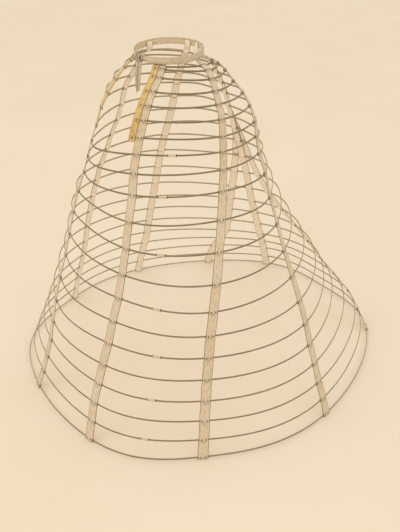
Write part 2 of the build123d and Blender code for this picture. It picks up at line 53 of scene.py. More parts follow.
# ---------------------------------------------------------------- dimensions
# millimetres, as in the CAD source
HOOP_H, HOOP_T = 4.6, 2.2
BAND_A, BAND_B, BAND_H, BAND_T = 94.0, 87.0, 17.0, 2.4
BAND_TILT, BAND_DIP_AZ, BAND_GAP = 5.5, 35.0, 15.0
TAPE_TH, TAPE_TOP_W, TAPE_HEM_W, POCKET_LIP = 1.0, 17.0, 28.0, 3.4
FACING_W, FACING_TH, FACING_TAIL = 18.0, 1.5, 12.0
RIVET_HEAD_R, RIVET_HEAD_H = 1.7, 0.7
SLEEVE_L, SLEEVE_H, SLEEVE_WALL = 24.0, 7.4, 1.1
OPEN_HOOPS = 7
PLAN_DEG = (0, 22, 68, 112, 132, 150, 180)
HOOPS = (
    (-20.0, -85.9, 60.2, -70.7, 117.1, 25.1, 67.4, 80.3, 37.5, 84.4, 17.1, 82.4, 79.4),
    (-25.6, -94.8, 74.0, -69.7, 146.0, 21.0, 85.3, 89.5, 54.3, 100.1, 31.5, 101.2, 99.2),
    (-41.9, -109.6, 88.4, -81.6, 165.4, 18.0, 103.8, 100.4, 72.5, 116.2, 46.5, 120.2, 118.8),
    (-68.8, -132.2, 102.4, -107.6, 178.6, 15.8, 123.0, 113.1, 92.2, 133.1, 62.4, 139.6, 138.0),
    (-98.2, -158.7, 108.8, -128.7, 191.3, 15.0, 143.2, 127.4, 112.6, 151.4, 78.5, 159.0, 157.0),
    (-131.2, -187.0, 107.9, -142.2, 206.3, 15.6, 158.5, 137.3, 129.4, 166.7, 93.9, 177.8, 176.8),
    (-173.2, -209.4, 104.8, -153.3, 209.2, 16.9, 169.4, 143.0, 143.4, 178.3, 106.3, 194.7, 198.6),
    (-212.7, -227.7, 105.3, -167.5, 209.3, 16.5, 175.2, 141.6, 152.2, 182.9, 114.5, 207.6, 223.6),
    (-256.0, -236.2, 113.9, -186.5, 218.3, 9.4, 190.0, 139.7, 162.5, 186.0, 121.6, 222.4, 252.7),
    (-304.0, -243.3, 124.8, -203.7, 239.1, -6.8, 219.9, 141.0, 181.7, 191.7, 127.6, 235.1, 285.2),
    (-363.1, -250.3, 140.4, -228.8, 273.8, -30.7, 248.6, 139.1, 197.8, 199.8, 135.6, 255.4, 320.3),
    (-428.9, -264.6, 150.9, -244.7, 310.1, -59.3, 279.5, 143.1, 217.3, 220.5, 143.9, 285.8, 357.5),
    (-497.6, -285.9, 157.8, -259.9, 340.5, -87.6, 308.5, 150.2, 235.5, 248.1, 152.1, 324.4, 396.4),
    (-561.0, -310.8, 161.6, -276.5, 358.7, -111.2, 340.5, 160.8, 258.4, 282.0, 162.9, 369.7, 436.5),
    (-621.0, -335.8, 165.1, -300.5, 369.7, -129.5, 373.1, 171.1, 281.1, 313.5, 172.3, 413.4, 477.6),
    (-679.8, -358.6, 167.9, -322.8, 376.9, -142.7, 400.6, 177.7, 298.5, 337.8, 178.0, 451.0, 518.4),
    (-738.1, -375.8, 171.6, -344.9, 387.4, -155.1, 422.7, 180.8, 316.0, 360.2, 188.1, 487.9, 556.4),
    (-791.0, -389.2, 178.3, -363.3, 403.4, -168.1, 446.8, 183.7, 340.8, 387.9, 208.2, 530.1, 589.5),
    (-842.0, -406.1, 188.6, -383.1, 418.4, -177.3, 469.9, 185.7, 365.5, 413.0, 229.2, 568.6, 618.0),
    (-891.3, -424.8, 203.0, -398.2, 433.4, -185.9, 488.9, 189.1, 381.8, 427.5, 240.6, 591.2, 643.6),
    (-937.3, -445.6, 221.4, -413.3, 446.3, -193.9, 504.6, 193.7, 401.5, 443.9, 257.0, 612.1, 666.8),
)
TAPES = {
    "front_right_tape": (338.1, 340.1, 342.1, 344.1, 346.1, 347.5, 348.2, 348.1, 347.2, 345.7, 344.0, 342.3, 341.4, 341.9, 343.9, 346.6, 349.1, 350.4, 351.3, 351.9, 352.3),
    "front_left_tape": (27.4, 22.9, 21.6, 21.2, 21.6, 21.8, 21.7, 22.0, 22.6, 23.4, 24.0, 23.5, 22.8, 22.5, 22.8, 23.2, 23.1, 22.6, 22.1, 21.5, 20.7),
    "side_front_left_tape": (67.3, 66.4, 67.0, 68.6, 69.1, 68.6, 68.7, 69.2, 69.5, 69.1, 68.2, 67.5, 67.4, 67.7, 68.1, 68.4, 68.4, 68.1, 67.6, 67.1, 66.7),
    "side_back_left_tape": (103.6, 107.2, 110.6, 113.7, 116.6, 119.2, 121.5, 123.3, 123.8, 122.7, 120.6, 118.0, 115.4, 113.2, 111.5, 110.9, 110.9, 110.9, 110.8, 110.9, 110.9),
    "centre_back_tape": (162.5, 163.5, 168.5, 172.6, 175.5, 178.6, 182.1, 185.8, 189.3, 191.9, 193.8, 196.0, 199.2, 202.7, 205.7, 207.8, 209.2, 210.4, 211.1, 211.2, 211.0),
    "side_back_right_tape": (235.0, 236.6, 241.2, 245.4, 249.1, 252.5, 254.9, 256.4, 256.9, 255.0, 252.9, 251.7, 251.3, 251.2, 251.1, 250.9, 250.8, 250.7, 250.7, 251.0, 251.3),
    "side_front_right_tape": (300.0, 296.4, 294.2, 294.9, 298.4, 303.5, 308.6, 312.6, 312.9, 309.3, 303.8, 297.8, 292.3, 288.7, 286.9, 286.1, 285.4, 284.6, 284.1, 283.9, 283.7),
    "back_right_tape": (None,) * 7 + (185.6, 189.7, 193.9, 198.2, 203.2, 208.8, 214.0, 217.8, 220.3, 222.4, 225.0, 227.5, 228.9, 229.7),
    "back_left_tape": (None,) * 7 + (185.8, 187.0, 188.5, 189.1, 188.6, 186.9, 183.2, 178.9, 174.0, 169.0, 163.7, 158.4, 153.2, 147.9),
}
STAND_OFF = {"back_right_tape": ((1.3, 1.65, 2.0, 1.85), 1.2), "back_left_tape": ((2.5, 3.2, 2.65, 1.15), 2.7)}
BAND_DEG = {"front_left_tape": 44.0, "side_front_left_tape": 113.0, "side_back_right_tape": 200.0, "side_front_right_tape": 272.0, "centre_back_tape": 178.0, "left_facing": 33.5}
SLEEVED = {7: 38.1, 9: 37.5, 11: 40.1, 13: 40.8, 15: 46.0, 17: 46.8, 19: 44.4}
N = len(HOOPS)
FLOOR_Z = cad_lo.z / MM


# ---------------------------------------------------------------- plan curves
def solve(a, b):
    n = len(b)
    a = [row[:] + [b[i]] for i, row in enumerate(a)]
    for i in range(n):
        p = max(range(i, n), key=lambda r: abs(a[r][i]))
        a[i], a[p] = a[p], a[i]
        for r in range(i + 1, n):
            f = a[r][i] / a[i][i]
            for c in range(i, n + 1):
                a[r][c] -= f * a[i][c]
    x = [0.0] * n
    for i in range(n - 1, -1, -1):
        x[i] = (a[i][n] - sum(a[i][c] * x[c] for c in range(i + 1, n))) / a[i][i]
    return x


KNOTS = [math.radians(d) for d in PLAN_DEG] + [math.radians(360 - d) for d in PLAN_DEG[-2:0:-1]]
NK = len(KNOTS)
SPAN = [(KNOTS[(k + 1) % NK] - KNOTS[k]) % (2 * math.pi) for k in range(NK)]


def second_derivatives(v):
    a = [[0.0] * NK for _ in range(NK)]
    b = [0.0] * NK
    for k in range(NK):
        h0, h1 = SPAN[k - 1], SPAN[k]
        a[k][k - 1] += h0
        a[k][k] += 2 * (h0 + h1)
        a[k][(k + 1) % NK] += h1
        b[k] = 6 * ((v[(k + 1) % NK] - v[k]) / h1 - (v[k] - v[k - 1]) / h0)
    return solve(a, b)


class Loop:
    def __init__(self, xs, ys):
        self.v = (xs, ys)
        self.m = (second_derivatives(xs), second_derivatives(ys))

    def at(self, deg):
        t = math.radians(deg) % (2 * math.pi)
        k = max(i for i in range(NK) if KNOTS[i] <= t + 1e-12)
        h, u = SPAN[k], t - KNOTS[k]
        out, der = [], []
        for v, m in zip(self.v, self.m):
            a, b, ma, mb = v[k], v[(k + 1) % NK], m[k], m[(k + 1) % NK]
            out.append(ma * (h - u) ** 3 / (6 * h) + mb * u ** 3 / (6 * h)
                       + (a / h - ma * h / 6) * (h - u) + (b / h - mb * h / 6) * u)
            der.append(-ma * (h - u) ** 2 / (2 * h) + mb * u ** 2 / (2 * h)
                       - (a / h - ma * h / 6) + (b / h - mb * h / 6))
        n = math.hypot(*der)
        return (out[0], out[1]), (der[0] / n, der[1] / n)


def hoop_loop(i):
    r = HOOPS[i]
    xs = [0.0, r[2], r[4], r[6], r[8], r[10], 0.0, -r[10], -r[8], -r[6], -r[4], -r[2]]
    ys = [r[1], r[3], r[5], r[7], r[9], r[11], r[12], r[11], r[9], r[7], r[5], r[3]]
    return Loop(xs, ys)


LOOPS = [hoop_loop(i) for i in range(N)]
DIP = (math.sin(math.radians(BAND_DIP_AZ)), -math.cos(math.radians(BAND_DIP_AZ)))
SLOPE = math.tan(math.radians(BAND_TILT))
TILT = Matrix.Rotation(math.radians(BAND_TILT), 3, Vector((-DIP[1], DIP[0], 0)))


def band_z(x, y):
    return -(x * DIP[0] + y * DIP[1]) * SLOPE


def band_at(theta_deg, s=0.0):
    t = math.radians(theta_deg)
    p = (BAND_A * math.sin(t), -BAND_B * math.cos(t))
    d = (BAND_A * math.cos(t), BAND_B * math.sin(t))
    n = math.hypot(*d)
    d = (d[0] / n, d[1] / n)
    return (p[0] + d[1] * s, p[1] - d[0] * s), d


def arc_step(i, deg, dist):
    step = 0.25 if dist > 0 else -0.25
    (p, _), left = LOOPS[i].at(deg), abs(dist)
    while left > 0:
        (q, _) = LOOPS[i].at(deg + step)
        d = math.hypot(q[0] - p[0], q[1] - p[1])
        if d >= left:
            return deg + step * left / d
        left -= d
        deg += step
        p = q
    return deg


def tape_width(i):
    return TAPE_TOP_W + (TAPE_HEM_W - TAPE_TOP_W) * i / (N - 1)


def crossing(degs, i):
    (x, y), (tx, ty) = LOOPS[i].at(degs[i])
    return Vector((x, y, HOOPS[i][0])), Vector((tx, ty, 0.0))


def local_frame(degs, i, lo, above=None, width=None):
    p, T = crossing(degs, i)
    a = crossing(degs, i - 1)[0] if i > lo else (above if above is not None else p)
    b = crossing(degs, i + 1)[0] if i < len(degs) - 1 else p
    U = (b - a).normalized()
    n = T.cross(U).normalized()
    if n.dot(Vector((p.x, p.y, 60.0))) < 0:
        n = -n
    V = n.cross(T).normalized()
    if V.dot(U) < 0:
        V = -V
    st = 1.0 / max(0.6, abs(U.dot(V)))
    half = (width or tape_width(i)) * st / 2
    corners, sag = [], []
    for walk in (-half, -half / 2, 0.0, half / 2, half):
        (x, y), (tx, ty) = LOOPS[i].at(arc_step(i, degs[i], walk))
        if abs(walk) == half:
            sag.append(Vector((x - p.x, y - p.y, 0)).dot(n))
        for side in (-1, 1):
            for up in (-1, 1):
                corners.append(Vector((x + ty * side * HOOP_T / 2 - p.x, y - tx * side * HOOP_T / 2 - p.y, up * HOOP_H / 2)))
    rn = 0.0
    for q in (a, b):
        if (q - p).length < 1e-6:
            continue
        m = T.cross((p - q).normalized()).normalized()
        if m.dot(n) < 0:
            m = -m
        rn = max(rn, max(c.dot(m) for c in corners) / n.dot(m))
    rv = HOOP_T / 2 * abs(T.y * V.x - T.x * V.y) + HOOP_H / 2 * abs(V.z)
    return p, T, V, n, rn, rv, st, sum(sag) / 2


def band_entry(first, name):
    p0 = first
    th = BAND_DEG.get(name, math.degrees(math.atan2(p0.x / BAND_A, -p0.y / BAND_B)))
    p, d = band_at(th, -BAND_T - TAPE_TH / 2 - 0.25)
    return p, Vector((d[0], d[1], 0.0)), Vector((d[1], -d[0], 0.0)), band_z(*p)


# ---------------------------------------------------------------- mesh helper
class Mesher:
    def __init__(self):
        self.v, self.f, self.uv, self.uv2, self.t = [], [], [], [], []

    def grid(self, rows, U, V, wrap_rows=False, wrap_cols=False, tone=None, A=None, caps=False):
        """rows of points; U along the rows, V across the columns, one value more where it wraps."""
        base, R, C = len(self.v), len(rows), len(rows[0])
        for r, row in enumerate(rows):
            for c, p in enumerate(row):
                self.v.append((p[0] * MM, p[1] * MM, p[2] * MM))
                self.t.append(tone(r, c) if tone else 0.0)
        A = A or [0.0] * (C + 1)
        for r in range(R if wrap_rows else R - 1):
            r2 = (r + 1) % R
            for c in range(C if wrap_cols else C - 1):
                c2 = (c + 1) % C
                self.f.append((base + r * C + c, base + r * C + c2, base + r2 * C + c2, base + r2 * C + c))
                self.uv.append(((V[c], U[r]), (V[c + 1], U[r]), (V[c + 1], U[r + 1]), (V[c], U[r + 1])))
                self.uv2.append(((A[c], 0), (A[c + 1], 0), (A[c + 1], 0), (A[c], 0)))
        if caps:
            for r, flip in ((0, True), (R - 1, False)):
                mid = len(self.v)
                row = rows[r]
                self.v.append(tuple(sum(p[k] for p in row) / C * MM for k in range(3)))
                self.t.append(tone(r, 0) if tone else 0.0)
                for c in range(C):
                    c2 = (c + 1) % C
                    tri = (base + r * C + c2, base + r * C + c, mid) if flip else (base + r * C + c, base + r * C + c2, mid)
                    self.f.append(tri)
                    uv = ((V[c], U[r]), (V[c], U[r]), (V[c], U[r]))
                    self.uv.append(uv)
                    self.uv2.append(((A[c], 0),) * 3)

    def grain(self, c, along, side, up, L, w, h):
        """one stitch: a long lozenge of thread lying on the cloth"""
        base = len(self.v)
        along, side, up = along * L / 2, side * w / 2, up * h
        pts = [c - along, c + along, c - side * 1.0, c + side * 1.0, c + up, c - up * 0.6,
               ]
        for p in pts:
            self.v.append((p.x * MM, p.y * MM, p.z * MM))
            self.t.append(0.0)
        for tri in ((0, 2, 4), (2, 1, 4), (1, 3, 4), (3, 0, 4), (2, 0, 5), (1, 2, 5), (3, 1, 5), (0, 3, 5)):
            self.f.append(tuple(base + k for k in tri))
            self.uv.append(((0, 0), (0.001, 0), (0, 0.001)))
            self.uv2.append(((0, 0),) * 3)

    def lathe(self, p, n, profile, seg=16):
        """a head turned round n from (radius, height) pairs, closed underneath"""
        n = n.normalized()
        a = n.orthogonal().normalized()
        b = n.cross(a)
        rows = []
        for r, h in profile:
            rows.append([p + n * h + (a * math.cos(2 * math.pi * k / seg) + b * math.sin(2 * math.pi * k / seg)) * max(r, 1e-3) for k in range(seg)])
        U = [0.001 * k for k in range(len(rows) + 1)]
        V = [0.001 * k for k in range(seg + 1)]
        self.grid(rows, U, V, wrap_cols=True, caps=True)

    def make(self, name, mat, node=None, recalc=True):
        me = bpy.data.meshes.new(name)
        me.from_pydata(self.v, [], self.f)
        uv = me.uv_layers.new(name="UVMap")
        uv.data.foreach_set("uv", [x for f in self.uv for c in f for x in c])
        uv2 = me.uv_layers.new(name="Across")
        uv2.data.foreach_set("uv", [x for f in self.uv2 for c in f for x in c])
        at = me.attributes.new("tone", "FLOAT", "POINT")
        at.data.foreach_set("value", self.t)
        me.polygons.foreach_set("use_smooth", [True] * len(me.polygons))
        if recalc:
            bm = bmesh.new()
            bm.from_mesh(me)
            bmesh.ops.recalc_face_normals(bm, faces=bm.faces)
            bm.to_mesh(me)
            bm.free()
        me.update()
        me.materials.append(mat)
        ob = bpy.data.objects.new(name, me)
        bpy.context.scene.collection.objects.link(ob)
        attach(ob, "root")
        if node:
            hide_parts(*([node] if isinstance(node, str) else node))
        return ob


# ---------------------------------------------------------------- materials
class Nodes:
    def __init__(self, name):
        self.mat = bpy.data.materials.new(name)
        self.mat.use_nodes = True
        self.nt = self.mat.node_tree
        self.nt.nodes.clear()
        self.out = self.nt.nodes.new("ShaderNodeOutputMaterial")
        self.bsdf = self.nt.nodes.new("ShaderNodeBsdfPrincipled")
        self.link(self.bsdf.outputs[0], self.out.inputs[0])

    def link(self, a, b):
        self.nt.links.new(a, b)

    def node(self, kind, **props):
        n = self.nt.nodes.new(kind)
        for k, v in props.items():
            setattr(n, k, v)
        return n

    def put(self, sock, value):
        if hasattr(value, "is_linked"):
            self.link(value, sock)
        else:
            sock.default_value = value

    def math(self, op, a, b=0.0, c=None, clamp=False):
        n = self.node("ShaderNodeMath", operation=op, use_clamp=clamp)
        self.put(n.inputs[0], a)
        self.put(n.inputs[1], b)
        if c is not None:
            self.put(n.inputs[2], c)
        return n.outputs[0]

    def uv(self, name="UVMap"):
        n = self.node("ShaderNodeUVMap", uv_map=name)
        s = self.node("ShaderNodeSeparateXYZ")
        self.link(n.outputs[0], s.inputs[0])
        return n.outputs[0], s.outputs[0], s.outputs[1]

    def attr(self, name):
        n = self.node("ShaderNodeAttribute", attribute_name=name)
        return n.outputs["Fac"]

    def place(self):
        return self.node("ShaderNodeTexCoord").outputs["Object"]

    def scaled(self, vec, scale, rot=(0, 0, 0)):
        m = self.node("ShaderNodeMapping")
        m.inputs["Scale"].default_value = scale
        m.inputs["Rotation"].default_value = rot
        self.link(vec, m.inputs["Vector"])
        return m.outputs[0]

    def noise(self, vec, scale, detail=3.0, rough=0.55):
        n = self.node("ShaderNodeTexNoise")
        n.inputs["Scale"].default_value = scale
        n.inputs["Detail"].default_value = detail
        n.inputs["Roughness"].default_value = rough
        self.link(vec, n.inputs["Vector"])
        return n.outputs[0]

    def ramp(self, fac, stops):
        n = self.node("ShaderNodeValToRGB")
        cr = n.color_ramp
        while len(cr.elements) < len(stops):
            cr.elements.new(0.5)
        for e, (pos, col) in zip(cr.elements, stops):
            e.position = pos
            e.color = (*col, 1.0) if len(col) == 3 else col
        self.link(fac, n.inputs[0])
        return n.outputs[0]

    def step(self, x, lo, hi):
        n = self.node("ShaderNodeMapRange", interpolation_type="SMOOTHSTEP")
        self.put(n.inputs["Value"], x)
        n.inputs["From Min"].default_value = lo
        n.inputs["From Max"].default_value = hi
        return n.outputs[0]

    def mix(self, fac, a, b, blend="MIX"):
        n = self.node("ShaderNodeMix", data_type="RGBA", blend_type=blend)
        self.put(n.inputs[0], fac)
        for sock, val in ((n.inputs[6], a), (n.inputs[7], b)):
            if hasattr(val, "is_linked"):
                self.link(val, sock)
            else:
                sock.default_value = (*val, 1.0)
        return n.outputs[2]

    def bump(self, height, strength, distance, normal=None):
        n = self.node("ShaderNodeBump")
        n.inputs["Strength"].default_value = strength
        n.inputs["Distance"].default_value = distance
        self.link(height, n.inputs["Height"])
        if normal is not None:
            self.link(normal, n.inputs["Normal"])
        return n.outputs[0]


def srgb(r, g, b):
    return tuple((c / 255 / 12.92) if c / 255 <= 0.04045 else ((c / 255 + 0.055) / 1.055) ** 2.4 for c in (r, g, b))


def cloth_material(name, pale, mid, deep, edge, weave=0.55, selvedge=0.0, twill=1.0):
    """Woven cotton: threads on the UVs, in metres, a slow mottling, and a darker woven edge. A positive tone attribute
    paints shade into the colour, a negative one paints light.
    """
    m = Nodes(name)
    vec, u, v = m.uv()
    obj = m.place()
    P = weave * MM
    warp = m.math("SINE", m.math("MULTIPLY", m.math("ADD", u, m.math("MULTIPLY", v, 0.5 * twill)), 2 * math.pi / P))
    weft = m.math("SINE", m.math("MULTIPLY", m.math("SUBTRACT", v, m.math("MULTIPLY", u, 0.5 * twill)), 2 * math.pi / P))
    thread = m.math("MULTIPLY", warp, weft)
    thread = m.math("MULTIPLY_ADD", thread, 0.5, 0.5)
    diag = m.scaled(vec, (260.0, 90.0, 90.0), (0, 0, math.radians(38)))
    blot = m.noise(diag, 1.0, 4.0, 0.62)
    slow = m.noise(obj, 9.0, 2.0)
    base = m.ramp(blot, [(0.30, deep), (0.50, mid), (0.68, pale)])
    base = m.mix(m.step(slow, 0.42, 0.68), base, m.mix(0.5, base, srgb(226, 208, 190)))
    base = m.mix(m.math("MULTIPLY", m.math("SUBTRACT", 1.0, thread), 0.16), base, edge)
    tone = m.attr("tone")
    # painted light: a negative tone lightens the cloth toward near-white
    base = m.mix(m.math("MULTIPLY", m.step(m.math("MULTIPLY", tone, -1.0), 0.1, 0.4), 0.75), base, srgb(247, 236, 218))
    # painted shade: a positive tone darkens the cloth toward the dark edge colour
    base = m.mix(m.math("MULTIPLY", m.math("MAXIMUM", tone, 0.0), 0.62), base, edge)
    height = thread
    if selvedge:
        _, a, _ = m.uv("Across")
        rim = m.step(m.math("ABSOLUTE", a), selvedge, selvedge + 0.06)
        dash = m.step(m.math("SINE", m.math("MULTIPLY", v, 2 * math.pi / 0.0021)), -0.75, 0.1)
        rim_c = m.math("MULTIPLY", rim, m.math("MULTIPLY_ADD", dash, 0.30, 0.62))
        base = m.mix(rim_c, base, edge)
    m.put(m.bsdf.inputs["Base Color"], base)
    m.bsdf.inputs["Roughness"].default_value = 0.88
    m.bsdf.inputs["Specular IOR Level"].default_value = 0.22
    m.bsdf.inputs["Sheen Weight"].default_value = 0.18
    m.bsdf.inputs["Sheen Roughness"].default_value = 0.5
    n1 = m.bump(blot, 0.30, 0.0006)
    n2 = m.bump(height, 0.55, 0.00012, n1)
    m.put(m.bsdf.inputs["Normal"], n2)
    return m.mat


def hoop_material():
    """Flat steel in a braided cotton cover: crossing threads, with painted light: the inner face is coloured paler than
    the outer.
    """
    m = Nodes("braided_hoop_cover")
    vec, v, u = m.uv()          # v round the section, u along the hoop
    P = 0.0016
    a = m.math("SINE", m.math("MULTIPLY", m.math("ADD", u, v), 2 * math.pi / P))
    b = m.math("SINE", m.math("MULTIPLY", m.math("SUBTRACT", u, v), 2 * math.pi / P))
    braid = m.math("MULTIPLY_ADD", m.math("MULTIPLY", a, b), 0.5, 0.5)
    wear = m.noise(m.scaled(vec, (220.0, 24.0, 24.0)), 1.0, 4.0, 0.6)
    tone = m.attr("tone")
    # painted light and shade: lit and shaded copies of one cover colour, the outer face darker, the inner face paler
    outer = m.ramp(wear, [(0.30, srgb(122, 108, 82)), (0.52, srgb(144, 129, 101)), (0.72, srgb(168, 152, 123))])
    inner = m.ramp(wear, [(0.30, srgb(162, 146, 118)), (0.52, srgb(184, 167, 139)), (0.72, srgb(202, 185, 157))])
    col = m.mix(tone, outer, inner)
    col = m.mix(m.math("MULTIPLY", m.math("SUBTRACT", 1.0, braid), 0.26), col, srgb(96, 78, 56))
    m.put(m.bsdf.inputs["Base Color"], col)
    m.bsdf.inputs["Roughness"].default_value = 0.72
    m.bsdf.inputs["Specular IOR Level"].default_value = 0.3
    m.bsdf.inputs["Sheen Weight"].default_value = 0.08
    m.put(m.bsdf.inputs["Normal"], m.bump(braid, 0.7, 0.00022))
    return m.mat


def leather_material():
    m = Nodes("ochre_leather")
    vec, u, v = m.uv()
    obj = m.place()
    grain = m.node("ShaderNodeTexVoronoi", feature="DISTANCE_TO_EDGE")
    grain.inputs["Scale"].default_value = 1100.0
    m.link(obj, grain.inputs["Vector"])
    g = m.step(grain.outputs["Distance"], 0.0, 0.22)
    cloud = m.noise(obj, 75.0, 4.0, 0.6)
    _, a, _ = m.uv("Across")
    rim = m.step(m.math("ABSOLUTE", a), 0.74, 1.0)
    base = m.ramp(cloud, [(0.28, srgb(192, 156, 92)), (0.5, srgb(216, 184, 118)), (0.72, srgb(230, 202, 142))])
    base = m.mix(m.math("MULTIPLY", rim, 0.55), base, srgb(150, 116, 64))
    base = m.mix(m.math("MULTIPLY", m.math("SUBTRACT", 1.0, g), 0.25), base, srgb(150, 112, 58))
    # painted shade from the tone attribute, beside each hoop
    base = m.mix(m.math("MULTIPLY", m.attr("tone"), 0.55), base, srgb(122, 90, 50))
    m.put(m.bsdf.inputs["Base Color"], base)
    m.bsdf.inputs["Roughness"].default_value = 0.5
    m.bsdf.inputs["Specular IOR Level"].default_value = 0.4
    n1 = m.bump(cloud, 0.25, 0.0007)
    m.put(m.bsdf.inputs["Normal"], m.bump(g, 0.4, 0.00012, n1))
    return m.mat


def metal_material(name, dark, light, rough, metallic, dark_ends_and_crimp_shade=None):
    m = Nodes(name)
    obj = m.place()
    n = m.noise(obj, 700.0, 4.0, 0.65)
    base = m.ramp(n, [(0.32, dark), (0.66, light)])
    # tone darkens toward this colour: dark sleeve ends, and painted shade in the crimp grooves
    if dark_ends_and_crimp_shade:
        base = m.mix(m.attr("tone"), base, dark_ends_and_crimp_shade)
    m.put(m.bsdf.inputs["Base Color"], base)
    m.bsdf.inputs["Metallic"].default_value = metallic
    m.put(m.bsdf.inputs["Roughness"], m.math("MULTIPLY_ADD", n, 0.25, rough))
    m.put(m.bsdf.inputs["Normal"], m.bump(m.noise(obj, 1900.0, 2.0), 0.25, 0.00008))
    return m.mat


def thread_material(name, col):
    m = Nodes(name)
    obj = m.place()
    tw = m.noise(obj, 2600.0, 2.0)
    base = m.ramp(tw, [(0.3, tuple(c * 0.72 for c in col)), (0.7, col)])
    m.put(m.bsdf.inputs["Base Color"], base)
    m.bsdf.inputs["Roughness"].default_value = 0.8
    m.put(m.bsdf.inputs["Normal"], m.bump(tw, 0.5, 0.00008))
    return m.mat


TAPE_MAT = cloth_material("cotton_tape", srgb(232, 216, 190), srgb(218, 199, 168), srgb(192, 171, 138), srgb(118, 98, 72), 0.55, 0.86)
BAND_MAT = cloth_material("waistband_cotton", srgb(232, 215, 186), srgb(217, 197, 164), srgb(190, 168, 132), srgb(112, 92, 66), 0.6)
# its dark edge colour carries the painted shade of the knot and the tail
TIE_MAT = cloth_material("tie_cotton", srgb(222, 206, 182), srgb(200, 182, 156), srgb(164, 145, 120), srgb(70, 56, 40), 0.5)
HOOP_MAT = hoop_material()
LEATHER_MAT = leather_material()
RIVET_MAT = metal_material("dark_rivet", srgb(58, 46, 34), srgb(98, 80, 60), 0.34, 0.75)
SLEEVE_MAT = metal_material("tinned_sleeve", srgb(196, 180, 150), srgb(232, 218, 190), 0.36, 0.25, srgb(74, 60, 44))
THREAD_MAT = thread_material("cream_thread", srgb(206, 186, 152))
SEAM_MAT = thread_material("tan_thread", srgb(150, 116, 66))

# ---------------------------------------------------------------- hoops
SECTION = []
for k in range(14):
    t = 2 * math.pi * k / 14
    c, s = math.cos(t), math.sin(t)
    SECTION.append((HOOP_T / 2 * math.copysign(abs(c) ** 0.55, c), HOOP_H / 2 * math.copysign(abs(s) ** 0.55, s)))


def girth(sec):
    out = [0.0]
    for a, b in zip(sec, sec[1:] + sec[:1]):
        out.append(out[-1] + math.hypot(a[0] - b[0], a[1] - b[1]) * MM)
    return out


def hoop_ends(i):
    out = []
    for tape, side in (("front_left_tape", -1), ("front_right_tape", 1)):
        d = arc_step(i, TAPES[tape][i], side * (tape_width(i) / 2 + FACING_W / 2 + 0.4))
        out.append(arc_step(i, d, side * (FACING_W / 2 - 1.5)))
    return out


def hoop_rows(i, d0, d1, n, sec, zc, scale=None):
    rows, U, prev, s = [], [], None, 0.0
    for k in range(n):
        d = d0 + (d1 - d0) * k / (n if scale is None and d1 - d0 == 360 else n - 1)
        (x, y), (tx, ty) = LOOPS[i].at(d)
        if prev:
            s += math.hypot(x - prev[0], y - prev[1])
        prev = (x, y)
        f = scale(k) if scale else (1.0, 1.0)
        rows.append([(x + ty * a * f[0], y - tx * a * f[0], zc + b * f[1]) for a, b in sec])
        U.append(s * MM)
    U.append(U[-1] + (U[-1] - U[-2]))
    return rows, U


GIRTH = girth(SECTION)
for i in range(N):
    m = Mesher()
    closed = i >= OPEN_HOOPS
    n = int(150 + 9 * i)
    if closed:
        rows, U = hoop_rows(i, 0.0, 360.0, n, SECTION, HOOPS[i][0])
    else:
        a, b = hoop_ends(i)
        b = b if b > a else b + 360
        rows, U = hoop_rows(i, a, b, n, SECTION, HOOPS[i][0], lambda k: (1.0, 1.0))
    # painted light: weight of the paler inner-face colour round the section
    inner = [0.5 - 0.5 * max(-1, min(1, 1.4 * a / (HOOP_T / 2))) for a, b in SECTION]
    m.grid(rows, U, GIRTH, wrap_rows=closed, wrap_cols=True, tone=lambda r, c: inner[c], caps=not closed)
    m.make("hoop_%02d_cover" % (i + 1), HOOP_MAT, "hoop_%02d" % (i + 1))

# ---------------------------------------------------------------- tapes
COLS = (-1.0, -0.965, -0.90, -0.78, -0.60, -0.40, -0.20, 0.0, 0.20, 0.40, 0.60, 0.78, 0.90, 0.965, 1.0)


def hermite(P, S, k, t):
    """smooth path through the knots P at chord lengths S, half way to the straight runs"""
    def slope(j):
        if j == 0:
            return (P[1] - P[0]) / (S[1] - S[0])
        if j == len(P) - 1:
            return (P[-1] - P[-2]) / (S[-1] - S[-2])
        h0, h1 = S[j] - S[j - 1], S[j + 1] - S[j]
        return ((P[j] - P[j - 1]) / h0 * h1 + (P[j + 1] - P[j]) / h1 * h0) / (h0 + h1)
    h = S[k + 1] - S[k]
    m0, m1 = slope(k) * h, slope(k + 1) * h
    t2, t3 = t * t, t * t * t
    curve = P[k] * (2 * t3 - 3 * t2 + 1) + m0 * (t3 - 2 * t2 + t) + P[k + 1] * (-2 * t3 + 3 * t2) + m1 * (t3 - t2)
    return curve * 0.6 + (P[k] * (1 - t) + P[k + 1] * t) * 0.4


def plateau(d, r0, fall):
    if d <= r0:
        return 1.0
    if d >= r0 + fall:
        return 0.0
    return 0.5 + 0.5 * math.cos(math.pi * (d - r0) / fall)


